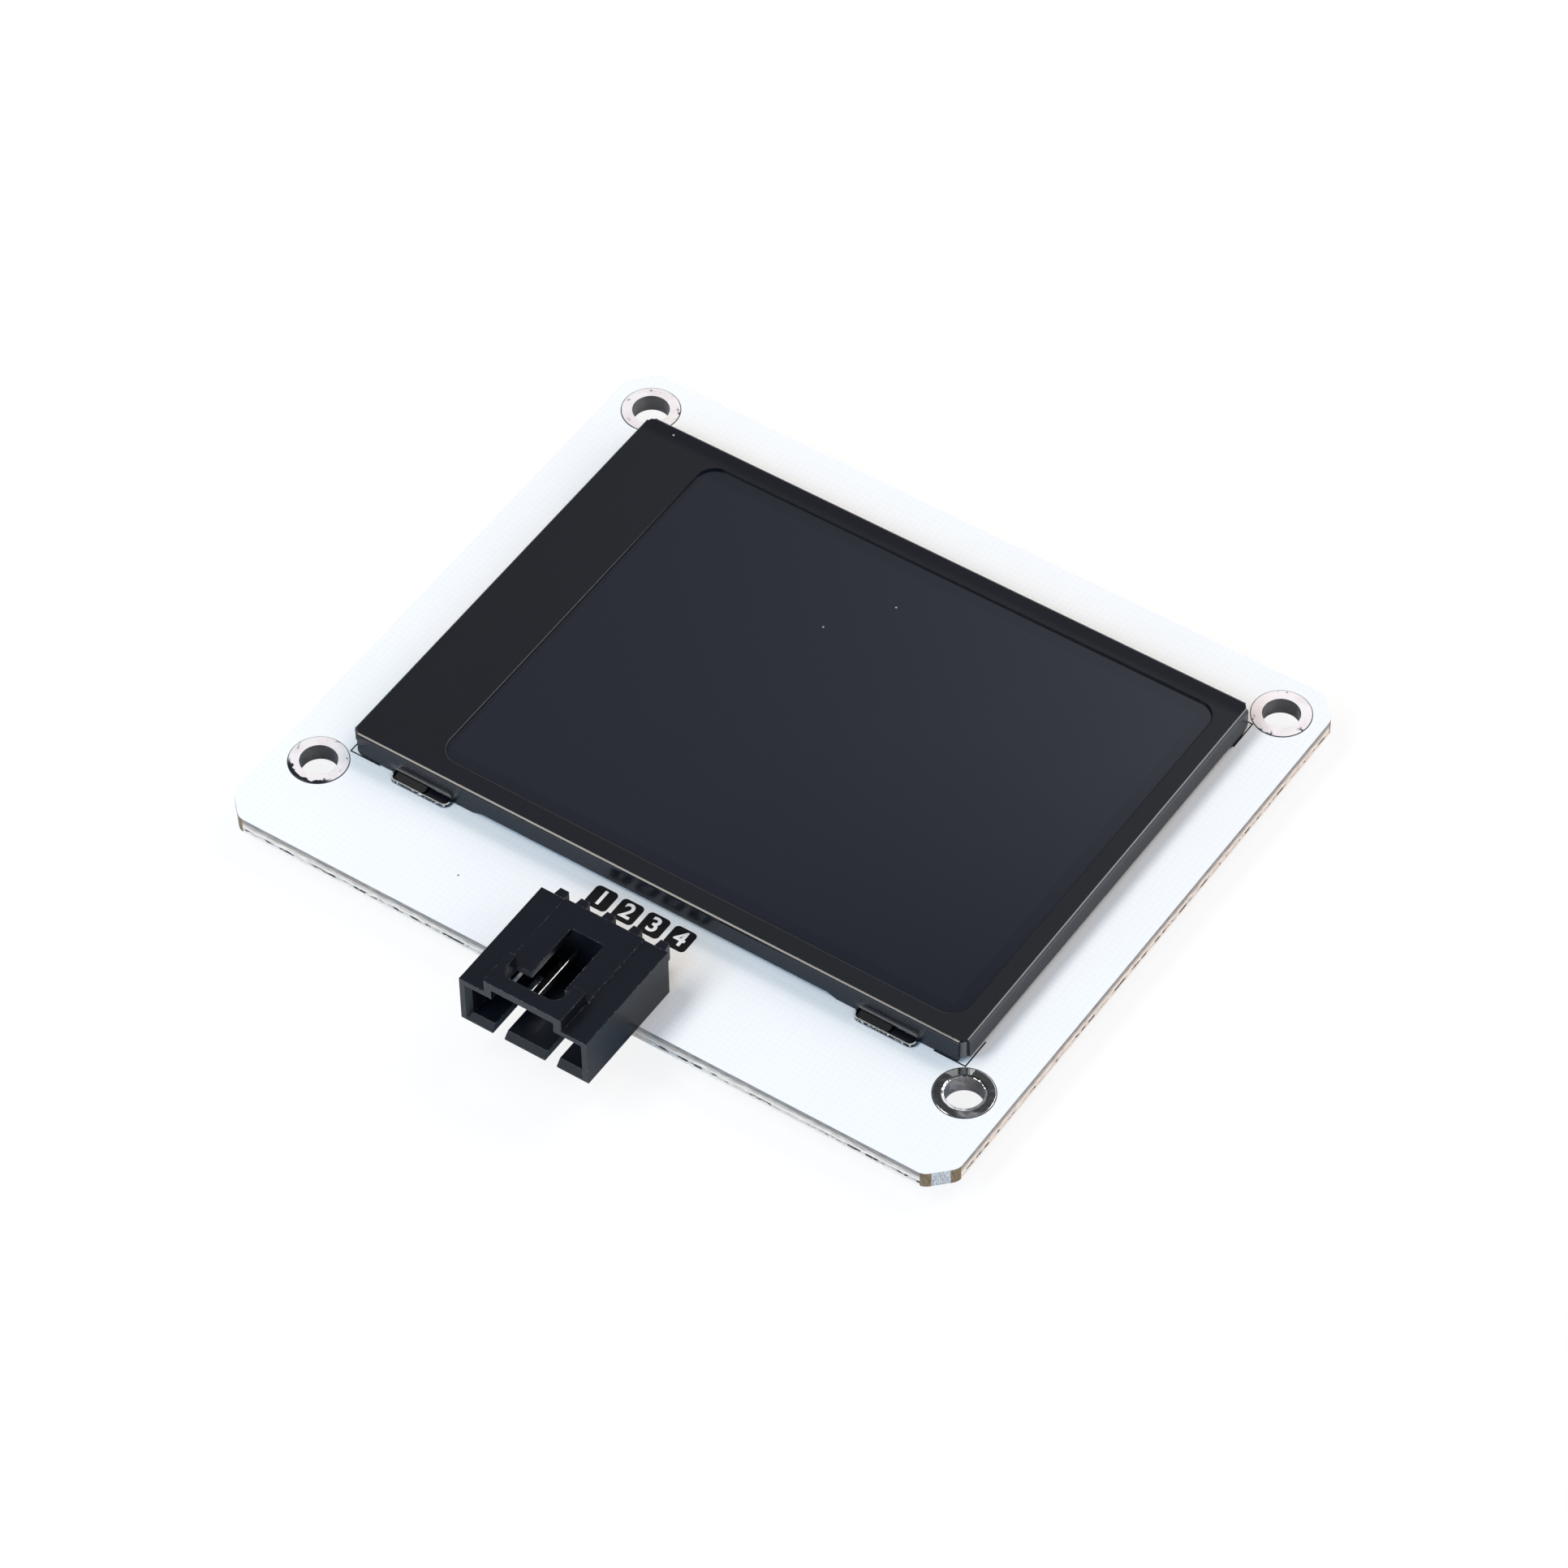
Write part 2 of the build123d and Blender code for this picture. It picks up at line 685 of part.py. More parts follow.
def solder_joint(x, pin):
    """Solder that fills a pin's hole, wets both pads and climbs the tail under the board."""
    place = (header_offset_x + x, tail_row_y)
    core = disc(pin_hole_diameter, place, (0, board_top))
    pads = disc(solder_pad_diameter, place, (-solder_pad_height, 0))
    pads += disc(solder_pad_diameter, place, (board_top, board_top + solder_pad_height))
    cone = Cone(solder_tip_diameter / 2, solder_pad_diameter / 2, solder_height)
    fillet_level = -solder_pad_height - solder_height / 2
    return core + pads + Pos(*place, fillet_level) * cone - pin


# Parts under the board

def gull_lead(x, width, edge, level, reach, foot, shoulder, thickness):
    """A formed lead that leaves a package edge and lands on the board's underside."""
    corners = [
        (edge, level - thickness / 2),
        (edge + shoulder, level - thickness / 2),
        (edge + reach - foot, -thickness),
        (edge + reach, -thickness),
        (edge + reach, 0),
        (edge + reach - foot - thickness / 2, 0),
        (edge + shoulder - thickness / 2, level + thickness / 2),
        (edge, level + thickness / 2),
    ]
    section = make_face(Polyline(*corners, close=True))
    return Pos(x - width / 2, 0, 0) * extrude(Plane.YZ * section, width)


def moulded_package(length, width, height, standoff, band, taper):
    """A moulded body under the board with sides that taper away from its lead band."""
    high = -standoff
    low = -standoff - height
    level = (high + low) / 2
    body = block(centred(length), centred(width), centred(band, level))
    upper = Pos(0, 0, level + band / 2) * Rectangle(length, width)
    lower = Pos(0, 0, level - band / 2) * Rectangle(length, width)
    half = (height - band) / 2
    return body + extrude(upper, half, taper=taper) + extrude(lower, -half, taper=taper)


def controller_package():
    """The microcontroller's moulded body with the dimple that marks its first lead."""
    body = moulded_package(controller_side, controller_side, controller_height,
                           controller_standoff, lead_thickness, controller_taper)
    corner = -controller_side / 2 + controller_dimple_inset
    low = -controller_standoff - controller_height
    body -= disc(controller_dimple_diameter, (corner, corner), (low, low + controller_dimple_depth))
    return Pos(*controller_place) * body


def controller_leads():
    """The microcontroller's formed leads, a row on each side."""
    level = -controller_standoff - controller_height / 2
    leads = []
    for turn in range(0, 360, 90):
        for index in range(controller_lead_count):
            x = (index - (controller_lead_count - 1) / 2) * controller_lead_pitch
            lead = gull_lead(x, controller_lead_width, controller_side / 2, level,
                             lead_reach, lead_foot, lead_shoulder, lead_thickness)
            leads.append(Pos(*controller_place) * Rot(0, 0, turn) * lead)
    return Compound(children=leads)


def small_package(place):
    """The moulded body of a small transistor or regulator."""
    body = moulded_package(small_package_length, small_package_width, small_package_height,
                           small_package_standoff, lead_thickness, controller_taper)
    return Pos(*place) * body


def small_leads(place, back_row, front_row):
    """The leads of a small package: places along its back and its front."""
    level = -small_package_standoff - small_package_height / 2
    leads = []
    for turn, row in ((0, back_row), (180, front_row)):
        for step in row:
            lead = gull_lead(step * small_lead_pitch, small_lead_width, small_package_width / 2,
                             level, small_lead_reach, small_lead_foot, small_lead_shoulder,
                             lead_thickness)
            leads.append(Pos(*place) * Rot(0, 0, turn) * lead)
    return Compound(children=leads)


def chip(place, height):
    """A chip capacitor or resistor with a metal cap at each end."""
    x, y, turn = place
    body = block(centred(chip_length - 2 * chip_cap_length), centred(chip_width),
                 (-chip_cap_step - height, -chip_cap_step))
    for side in (-1, 1):
        ends = sorted((side * chip_length / 2, side * (chip_length / 2 - chip_cap_length)))
        body += block(ends, centred(chip_width + 2 * chip_cap_step),
                      (-2 * chip_cap_step - height, 0))
    return Pos(x, y) * Rot(0, 0, turn) * body


def crystal():
    """The clock crystal: a ceramic base with a metal lid."""
    base = block(centred(crystal_length), centred(crystal_width), (-crystal_base_height, 0))
    lid_x = centred(crystal_length - 2 * crystal_lid_inset)
    lid_y = centred(crystal_width - 2 * crystal_lid_inset)
    lid = plate(lid_x, lid_y, (-crystal_height, -crystal_base_height), crystal_corner_radius)
    return Pos(*crystal_place) * (base + lid)


# The whole module

os.makedirs("parts", exist_ok=True)

save(circuit_board(), "circuit_board")
for corner, place in hole_places.items():
    save(plated_hole(place), f"plated_hole_{corner}")

save(bezel(), "bezel_frame")
save(backlight_moulding(), "backlight_moulding")
for name, layer in display_layers().items():
    save(layer, name)
save(mounting_tape(-1), "mounting_tape_front")
save(mounting_tape(1), "mounting_tape_back")
save(lamp_strip(), "lamp_strip")
for index in range(lamp_count):
    save(lamp(index), f"backlight_lamp_{index + 1}")
save(driver_chip(), "display_driver_chip")
save(display_flex(), "display_flex")

save(header_housing(), "header_housing")
for index, x in enumerate(pin_places):
    pin = header_pin(x)
    save(pin, f"header_pin_{index + 1}")
    save(solder_joint(x, pin), f"pin_solder_{index + 1}")

save(controller_package(), "microcontroller_package")
save(controller_leads(), "microcontroller_leads")
save(small_package(regulator_place), "regulator_package")
save(small_leads(regulator_place, (-1, 1), (-1, 0, 1)), "regulator_leads")
save(small_package(transistor_place), "transistor_package")
save(small_leads(transistor_place, (0,), (-1, 1)), "transistor_leads")
for name, place in capacitor_places.items():
    save(chip(place, capacitor_height), f"capacitor_{name}")
for name, place in resistor_places.items():
    save(chip(place, resistor_height), f"resistor_{name}")
save(crystal(), "clock_crystal")
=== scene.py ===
import math

import bpy
from mathutils import Matrix, Vector


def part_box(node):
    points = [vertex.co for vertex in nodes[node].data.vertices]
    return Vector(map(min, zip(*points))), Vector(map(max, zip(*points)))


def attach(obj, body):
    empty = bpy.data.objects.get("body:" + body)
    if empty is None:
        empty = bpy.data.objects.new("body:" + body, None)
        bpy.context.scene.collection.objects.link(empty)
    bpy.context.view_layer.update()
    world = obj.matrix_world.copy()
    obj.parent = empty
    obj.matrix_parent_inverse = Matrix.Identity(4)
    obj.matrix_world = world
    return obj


# Colour display module: surfaces, printed marks, floor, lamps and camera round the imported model.
# Metres, in the model's own frame: +Z up out of the screen, the header towards -Y.
# Colours are linear red, green and blue.

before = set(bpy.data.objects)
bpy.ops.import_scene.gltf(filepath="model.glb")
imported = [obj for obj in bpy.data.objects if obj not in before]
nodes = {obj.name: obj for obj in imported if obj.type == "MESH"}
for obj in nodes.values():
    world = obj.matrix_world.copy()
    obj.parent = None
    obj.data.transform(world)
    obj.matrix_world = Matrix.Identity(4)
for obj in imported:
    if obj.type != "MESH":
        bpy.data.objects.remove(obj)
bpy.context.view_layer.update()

MM = 0.001


def millimetres(*values):
    """A length, a pair of lengths or a point given in millimetres, in metres."""
    return values[0] * MM if len(values) == 1 else Vector(values) * MM


def link(thing):
    """Puts an object in the scene."""
    bpy.context.scene.collection.objects.link(thing)
    return thing


# Camera

camera_azimuth = 34.739
camera_elevation = 48.947
camera_roll = -0.956
camera_distance = 0.57595
camera_target = millimetres(1.684, -4.966, 1.6)
camera_lens = 163.56
camera_sensor = 36.0

azimuth = math.radians(camera_azimuth)
elevation = math.radians(camera_elevation)
towards_camera = Vector((
    math.sin(azimuth) * math.cos(elevation),
    -math.cos(azimuth) * math.cos(elevation),
    math.sin(elevation),
))
camera_data = bpy.data.cameras.new("camera")
camera_data.lens = camera_lens
camera_data.sensor_width = camera_sensor
camera_data.clip_start = 0.01
camera_data.clip_end = 20.0
camera = link(bpy.data.objects.new("camera", camera_data))
camera.location = camera_target + towards_camera * camera_distance
turn = (-towards_camera).to_track_quat("-Z", "Y").to_matrix()
camera.rotation_euler = (turn @ Matrix.Rotation(math.radians(camera_roll), 3, "Z")).to_euler()
bpy.context.scene.camera = camera


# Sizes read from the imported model

board_low, board_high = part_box("circuit_board")
bezel_low, bezel_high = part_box("bezel_frame")
screen_low, screen_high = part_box("front_polariser")
ring_low, ring_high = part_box("plated_hole_front_right")
moulding_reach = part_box("backlight_moulding")[1].x
board_top = board_high.z
board_middle = (board_low + board_high) / 2
screen_middle = (screen_low + screen_high) / 2
hole_place = (ring_low + ring_high) / 2
ring_radius = (ring_high.x - ring_low.x) / 2
lowest = min(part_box(name)[0].z for name in nodes)


# Sizes inside those boxes

ring_width = millimetres(0.90)
pocket_reach = millimetres(0.95)
pocket_inset = millimetres(7.23)
bend_width = millimetres(1.2)
hole_radius = ring_radius - ring_width
wall_plane = bezel_high.y - pocket_reach
pocket_centre = bezel_high.x - pocket_inset
rim_level = board_top + millimetres(0.31)
brow_level = board_top + millimetres(0.46)


# Building materials

class Graph:
    """A tree of shader nodes."""

    def __init__(self, tree):
        self.tree = tree

    def plug(self, socket, value):
        """Gives a socket a value or a link from another node's output."""
        if isinstance(value, bpy.types.NodeSocket):
            self.tree.links.new(value, socket)
        else:
            socket.default_value = value

    def add(self, kind, inputs=None, **settings):
        """A new node with its settings and its inputs, each a value or another node's output."""
        node = self.tree.nodes.new(kind)
        for key, value in settings.items():
            setattr(node, key, value)
        for key, value in (inputs or {}).items():
            self.plug(node.inputs[key], value)
        return node

    def math(self, operation, first, second=0.0):
        """One arithmetic step."""
        return self.add("ShaderNodeMath", {0: first, 1: second}, operation=operation).outputs[0]

    def span(self, value, low, high, to_low=0.0, to_high=1.0, curve="SMOOTHSTEP"):
        """A step, smooth by default, from one level to another between two limits of a value."""
        inputs = {"Value": value, "From Min": low, "From Max": high,
                  "To Min": to_low, "To Max": to_high}
        return self.add("ShaderNodeMapRange", inputs, interpolation_type=curve).outputs[0]


class Surface(Graph):
    """A material of nodes round one Principled shader, in the object's own coordinates."""

    def __init__(self, name, colour, roughness, metallic=0.0, **sockets):
        self.material = bpy.data.materials.new(name)
        self.material.use_nodes = True
        super().__init__(self.material.node_tree)
        self.shader = self.tree.nodes["Principled BSDF"]
        self.paint((*colour, 1.0))
        self.set("Roughness", roughness)
        self.set("Metallic", metallic)
        for key, value in sockets.items():
            self.set(key.replace("_", " "), value)
        coordinates = self.add("ShaderNodeTexCoord")
        self.place = coordinates.outputs["Object"]
        self.share = coordinates.outputs["Generated"]
        split = self.add("ShaderNodeSeparateXYZ", {"Vector": self.place})
        self.x, self.y, self.z = split.outputs
        geometry = self.add("ShaderNodeNewGeometry")
        self.true_normal = geometry.outputs["True Normal"]
        faces = self.add("ShaderNodeSeparateXYZ", {"Vector": self.true_normal})
        self.normal_x, self.normal_y, self.normal_z = faces.outputs
        self.normal = None

    def set(self, socket, value):
        """Gives one of the shader's sockets a value or a link."""
        self.plug(self.shader.inputs[socket], value)

    def paint(self, colour):
        """Gives the shader its base colour, and keeps it for a later coat."""
        self.colour = colour
        self.set("Base Color", colour)

    def both(self, *masks):
        """The product of several masks."""
        result = masks[0]
        for mask in masks[1:]:
            result = self.math("MULTIPLY", result, mask)
        return result

    def band(self, value, low, high, soft):
        """A mask that is full between two limits of a value and fades out just outside them."""
        return self.both(self.span(value, low - soft, low), self.span(value, high + soft, high))

    def reach(self, value, centre=0.0):
        """How far a value is from a centre, on either side."""
        return self.math("ABSOLUTE", self.math("SUBTRACT", value, centre))

    def upright(self, low=0.6, high=0.4):
        """A mask of the faces that stand upright, between two shares of an upward normal."""
        return self.span(self.reach(self.normal_z), low, high)

    def distance(self, across, along, point):
        """Distance in plan from a place, given by its two coordinates, to a point."""
        dx = self.math("SUBTRACT", across, point[0])
        dy = self.math("SUBTRACT", along, point[1])
        return self.math("SQRT", self.math("ADD", self.both(dx, dx), self.both(dy, dy)))

    def from_ring(self):
        """Distance in plan from the nearest of the four mounting holes."""
        middle = (abs(hole_place.x), abs(hole_place.y))
        return self.distance(self.reach(self.x), self.reach(self.y), middle)

    def speck(self, place, size):
        """A mask of one tiny round spot on an upper face."""
        return self.span(self.distance(self.x, self.y, place), size, size * 0.6)

    def mix(self, mask, first, second):
        """One colour or the other by a mask."""
        node = self.add("ShaderNodeMix", data_type="RGBA")
        for index, value in ((0, mask), (6, first), (7, second)):
            colour = (*value, 1.0) if isinstance(value, tuple) else value
            self.plug(node.inputs[index], colour)
        return node.outputs[2]

    def stretched(self, x, y, z):
        """The place with each axis scaled by its own factor."""
        return self.add("ShaderNodeMapping", {"Vector": self.place, "Scale": (x, y, z)}).outputs[0]

    def noise(self, size, detail=3.0, rough=0.55, vector=None):
        """Cloudy noise whose features are about one size across."""
        inputs = {"Vector": vector or self.place, "Scale": 1.0 / size, "Detail": detail,
                  "Roughness": rough}
        return self.add("ShaderNodeTexNoise", inputs).outputs[0]

    def wave(self, pitch, direction):
        """A sine wave along one axis."""
        inputs = {"Vector": self.place, "Scale": math.tau / 20 / pitch}
        return self.add("ShaderNodeTexWave", inputs, bands_direction=direction).outputs["Fac"]

    def rounded(self, radius):
        """Softens every edge's shading by a small radius."""
        self.normal = self.add("ShaderNodeBevel", {"Radius": radius}, samples=6).outputs[0]
        self.set("Normal", self.normal)

    def wear(self, radius, low, high):
        """A mask of the edges, where the rounded normal leaves the flat one."""
        soft = self.add("ShaderNodeBevel", {"Radius": radius}, samples=6).outputs[0]
        dot = self.add("ShaderNodeVectorMath", {0: soft, 1: self.true_normal},
                       operation="DOT_PRODUCT").outputs["Value"]
        return self.span(self.math("SUBTRACT", 1.0, dot), low, high)

    def bump(self, height, distance, strength=1.0):
        """Adds fine relief on top of what the normal already has."""
        inputs = {"Height": height, "Distance": distance, "Strength": strength}
        if self.normal is not None:
            inputs["Normal"] = self.normal
        self.normal = self.add("ShaderNodeBump", inputs).outputs[0]
        self.set("Normal", self.normal)

    def vary_roughness(self, noise, low, high):
        """Roughness that drifts between two levels."""
        self.set("Roughness", self.span(noise, 0.3, 0.7, low, high))


def grey(level):
    """A colour with the same share of red, green and blue."""
    return (level, level, level)


def shaded(colour, factor):
    """A colour made darker or paler by one factor."""
    return tuple(channel * factor for channel in colour)


# The board: white solder mask, and laminate on its cut edge

thread_pitch = millimetres(0.55)
mask_gap = millimetres(0.05)
board_speck = millimetres(-14.65, -27.36)
board_speck_size = millimetres(0.10)
foot_levels = millimetres(0.26, 0.20)
dash_levels = millimetres(0.32, 0.50)
pale_levels = millimetres(0.62, 0.70)
upper_levels = millimetres(0.85, 1.25)
# Levels of the line of painted shade just under the mask's edge.
mask_shade_levels = (board_top - millimetres(0.09), board_top - millimetres(0.05))
level_blur = millimetres(0.06)
milled_ends = millimetres(1.02, 1.14)


def milled_colour(s):
    """The milled corners: a grey flat between two tan ends."""
    off_x = s.math("SUBTRACT", s.reach(s.x), board_high.x)
    off_y = s.math("SUBTRACT", s.reach(s.y, board_middle.y), board_high.y - board_middle.y)
    off_middle = s.reach(off_x, off_y)
    grain = s.noise(millimetres(0.12), 3.0, 0.6, s.stretched(1.0, 1.0, 0.3))
    flat = s.mix(s.span(grain, 0.40, 0.60), (0.40, 0.40, 0.41), (0.70, 0.70, 0.71))
    tan = s.mix(s.span(grain, 0.35, 0.65), (0.16, 0.105, 0.055), (0.27, 0.19, 0.11))
    return s.mix(s.span(off_middle, *milled_ends), flat, tan)


def laminate_colour(s):
    """Glass-fibre laminate in streaked plies, darker towards the top, with one pale ply, dark dashes
    that are partly the rough break and partly painted shadow in it, and a line of painted shade just
    under the mask.
    """
    streaks = s.noise(millimetres(0.5), 4.0, 0.65, s.stretched(0.5, 0.5, 5.0))
    plies = s.span(streaks, 0.40, 0.62)
    lower = s.mix(plies, (0.54, 0.475, 0.42), (0.98, 0.86, 0.76))
    upper = s.mix(plies, (0.22, 0.19, 0.17), (0.42, 0.365, 0.32))
    colour = s.mix(s.span(s.z, *upper_levels), lower, upper)
    colour = s.mix(s.band(s.z, *pale_levels, level_blur), colour, (0.99, 0.87, 0.78))
    dashes = s.noise(millimetres(0.8), 3.0, 0.6, s.stretched(0.8, 0.8, 1.2))
    # Dark dashes along the break: partly the rough broken fibre, partly painted shadow in it.
    dark = s.both(s.span(dashes, 0.51, 0.57), s.band(s.z, *dash_levels, level_blur))
    colour = s.mix(dark, colour, grey(0.022))
    colour = s.mix(s.span(s.z, *foot_levels), colour, (0.95, 0.85, 0.77))
    # A bluish grey line just under the mask's edge is painted shade.
    colour = s.mix(s.span(s.z, *mask_shade_levels), colour, (0.36, 0.37, 0.42))
    diagonal = s.math("ABSOLUTE", s.math("MULTIPLY", s.normal_x, s.normal_y))
    return s.mix(s.span(diagonal, 0.07, 0.12), colour, milled_colour(s))


def board_surface():
    """Satin white solder mask on the faces, with painted shade in the thin gap round each ring, raw
    glass-fibre laminate on every cut edge.
    """
    s = Surface("white_board", (0.868, 0.885, 0.897), 0.38, IOR=1.45)
    cut = s.upright(0.7, 0.3)
    drift = s.span(s.noise(millimetres(7.0)), 0.3, 0.7)
    face = s.mix(drift, (0.860, 0.877, 0.889), (0.872, 0.888, 0.899))
    threads = s.both(s.wave(thread_pitch, "X"), s.wave(thread_pitch, "Y"))
    face = s.mix(s.math("MULTIPLY", threads, 0.5), face, (0.812, 0.835, 0.862))
    # The thin gap between mask and mounting ring is painted near-black: painted shade in the groove.
    gap_shade = s.band(s.from_ring(), ring_radius, ring_radius + mask_gap, mask_gap)
    face = s.mix(gap_shade, face, (0.02, 0.03, 0.05))
    face = s.mix(s.speck(board_speck, board_speck_size), face, (0.01, 0.012, 0.02))
    s.paint(s.mix(cut, face, laminate_colour(s)))
    s.set("Roughness", s.span(cut, 0.0, 1.0, 0.36, 0.7))
    s.bump(s.math("ADD", threads, s.noise(millimetres(0.3))), millimetres(0.008), 0.6)
    s.bump(s.both(s.noise(millimetres(0.2), 4.0), cut), millimetres(0.05), 0.8)
    return s


# Tin on the pads, contacts and leads

# Where the dark patches and the arc of painted reflection lie on each ring.
dark_patch_reach = (ring_radius - millimetres(0.55), ring_radius - millimetres(0.10))
reflection_arc_reach = (ring_radius - millimetres(0.34), ring_radius - millimetres(0.24))
reflection_arc_front = (hole_place.y - millimetres(0.9), hole_place.y - millimetres(1.7))
reflection_arc_waver = millimetres(0.18)
sink_reach = (hole_radius + millimetres(0.24), hole_radius - millimetres(0.05))
sink_depth = millimetres(0.035)


def flow(s, size=1.3):
    """The slow waves in tin that has flowed."""
    return s.noise(millimetres(size), 2.0, 0.45)


def tin_surface(name, colour, low, high, relief, edge=0.04, flow_size=1.3):
    """Bright tin between two roughnesses, with slow waves where it has flowed."""
    s = Surface(name, colour, 0.2, 1.0)
    s.rounded(millimetres(edge))
    waves = flow(s, flow_size)
    s.paint(s.mix(s.span(waves, 0.35, 0.7), colour, shaded(colour, 0.90)))
    s.vary_roughness(s.noise(millimetres(0.4), 3.0, 0.5), low, high)
    s.bump(waves, millimetres(relief))
    return s


def pad_surface():
    """A mounting ring in pale matt tin with dark patches near its rim, a painted dark reflection in
    an arc along the front of the rim, and painted shade inside the hole.
    """
    pale = (0.94, 0.885, 0.885)
    s = tin_surface("bright_tin", pale, 0.16, 0.28, 0.006)
    away = s.from_ring()
    lumps = s.noise(millimetres(0.6), 3.0, 0.5)
    dark_patch = s.both(s.span(lumps, 0.60, 0.68), s.span(away, *dark_patch_reach))
    wavy = s.math("ADD", away, s.span(lumps, 0.3, 0.7, -reflection_arc_waver, reflection_arc_waver))
    # A dark arc along the front of the front rings' rims: painted reflection in the curved tin.
    reflection_arc = s.both(s.span(s.y, *reflection_arc_front), s.span(wavy, *reflection_arc_reach))
    dark = s.math("MAXIMUM", dark_patch, reflection_arc)
    barrel = s.upright()
    face = s.mix(s.span(flow(s), 0.35, 0.7), pale, (0.87, 0.80, 0.80))
    face = s.mix(dark, face, (0.05, 0.05, 0.055))
    # The barrel inside the hole is painted dark grey: painted shade.
    s.paint(s.mix(barrel, face, (0.16, 0.16, 0.17)))
    metal = s.span(barrel, 0.0, 1.0, 0.14, 0.8)
    s.set("Metallic", s.math("MAXIMUM", s.math("MULTIPLY", dark, 0.8), metal))
    return s


def flowed_pad_surface():
    """A mounting ring whose tin is a dark mirror that sinks towards the hole, rougher inside the hole
    and painted darker there as shade.
    """
    bright = (0.90, 0.89, 0.89)
    s = tin_surface("bright_tin_smooth", bright, 0.03, 0.07, 0.03, 0.10, 2.4)
    uneven = s.noise(millimetres(0.7), 2.0, 0.5)
    sunk = s.span(s.from_ring(), *sink_reach)
    s.bump(s.both(sunk, s.span(uneven, 0.30, 0.70, -0.2, -1.6)), sink_depth)
    barrel = s.upright()
    # The barrel is painted darker grey: painted shade inside the hole.
    s.paint(s.mix(barrel, bright, (0.42, 0.42, 0.44)))
    s.set("Roughness", s.span(barrel, 0.0, 1.0, 0.05, 0.30))
    return s


# The display: steel frame, screen and moulding

brow_reach = (wall_plane + millimetres(0.01), wall_plane + millimetres(0.03))
brow_levels = (brow_level, brow_level + millimetres(0.06))
brow_foot_levels = millimetres(2.5, 2.4)
pressed_reach = (wall_plane + millimetres(0.30), wall_plane + millimetres(0.34))
pressed_levels = (rim_level + millimetres(0.06), rim_level + millimetres(0.03))
rim_top_levels = (rim_level - millimetres(0.06), rim_level - millimetres(0.03))
rim_side_levels = (rim_level - millimetres(0.22), rim_level - millimetres(0.14))
rim_side_reach = (wall_plane + millimetres(0.80), wall_plane + millimetres(0.84))
brink_reach = (wall_plane + millimetres(0.87), wall_plane + millimetres(0.90))
# Where the painted highlight round each pocket lies on the wall.
glow_half_length = millimetres(3.4, 2.4)
glow_top = (board_top + millimetres(1.25), board_top + millimetres(0.70))
glow_foot = (board_top + millimetres(0.45), board_top + millimetres(0.60))
bezel_speck = millimetres(-26.6, 20.4)
bezel_speck_size = millimetres(0.11)
screen_specks = (millimetres(-4.1, 9.4), millimetres(-0.3, 14.5))
screen_speck_size = millimetres(0.10)
picture_border = millimetres(1.6)
picture_blur = millimetres(0.1)
corner_reach = (moulding_reach - millimetres(0.9), wall_plane - millimetres(1.1))
corner_blur = millimetres(0.15)


def pocket_rim(s, out):
    """A mask of a pocket's bare cut rim: its top, and its outer side just below."""
    pressed = s.both(s.span(out, *pressed_reach), s.span(s.z, *pressed_levels))
    top = s.both(pressed, s.span(s.normal_z, 0.6, 0.8), s.span(s.z, *rim_top_levels))
    side = s.both(pressed, s.upright(), s.span(s.z, *rim_side_levels),
                  s.span(out, *rim_side_reach))
    return s.math("MAXIMUM", top, side)


def rim_steel(s, out):
    """Bare steel, but for the coating between the flecks along the rim's brink."""
    flecks = s.noise(millimetres(0.20), 4.0, 0.65)
    coated = s.both(s.span(out, *brink_reach), s.span(flecks, 0.60, 0.52))
    return s.mix(coated, (0.90, 0.87, 0.83), (0.030, 0.029, 0.030))


def coat_colour(s, upright, brow):
    """Black coating, with a painted reflection making it bluer on the walls, and a painted highlight
    making it paler on the pockets' brows and on the wall round them.
    """
    colour = s.mix(s.noise(millimetres(6.0)), (0.0052, 0.0060, 0.0092), (0.0068, 0.0078, 0.0118))
    # Bluer base on the upright walls: painted reflection of the bluish board.
    colour = s.mix(upright, colour, (0.0030, 0.0052, 0.0105))
    # Pale warm patches on the wall round each pocket and on its brow: painted highlight.
    along = s.reach(s.reach(s.x), pocket_centre)
    bulge_glow = s.both(upright, s.span(along, *glow_half_length), s.span(s.z, *glow_top),
                   s.span(s.z, *glow_foot))
    colour = s.mix(bulge_glow, colour, (0.085, 0.078, 0.072))
    colour = s.mix(brow, colour, (0.120, 0.110, 0.102))
    return s.mix(s.speck(bezel_speck, bezel_speck_size), colour, (0.45, 0.45, 0.50))


def coat_gloss(s, out, upright, brow):
    """How strongly the coating mirrors: most on the outer bends, least at the back and far lip."""
    bend_limits = (bend_width, bend_width + millimetres(0.2))
    rear = s.both(s.span(s.y, screen_high.y - millimetres(0.5), screen_high.y + millimetres(0.5)),
                  s.span(s.normal_z, 0.90, 0.99))
    gloss = s.mix(rear, grey(0.46), grey(0.24))
    bend = s.both(s.span(s.normal_z, 0.995, 0.985), s.span(s.normal_z, 0.10, 0.30))
    right = s.span(s.x, bezel_high.x - bend_width, bezel_high.x - millimetres(1.1))
    gloss = s.mix(bend, gloss, s.mix(right, grey(0.70), grey(1.0)))
    lip = s.both(bend, s.span(out, *(wall_plane - limit for limit in bend_limits)),
                 s.span(s.x, *(bezel_low.x + limit for limit in bend_limits)),
                 s.span(s.x, *(bezel_high.x - limit for limit in bend_limits)))
    far = s.span(s.y, 0.0, screen_high.y - millimetres(1.0))
    gloss = s.mix(lip, gloss, s.mix(far, grey(0.42), grey(0.05)))
    gloss = s.mix(s.both(brow, s.span(s.z, *brow_foot_levels)), gloss, grey(0.15))
    return s.mix(upright, gloss, grey(0.29))


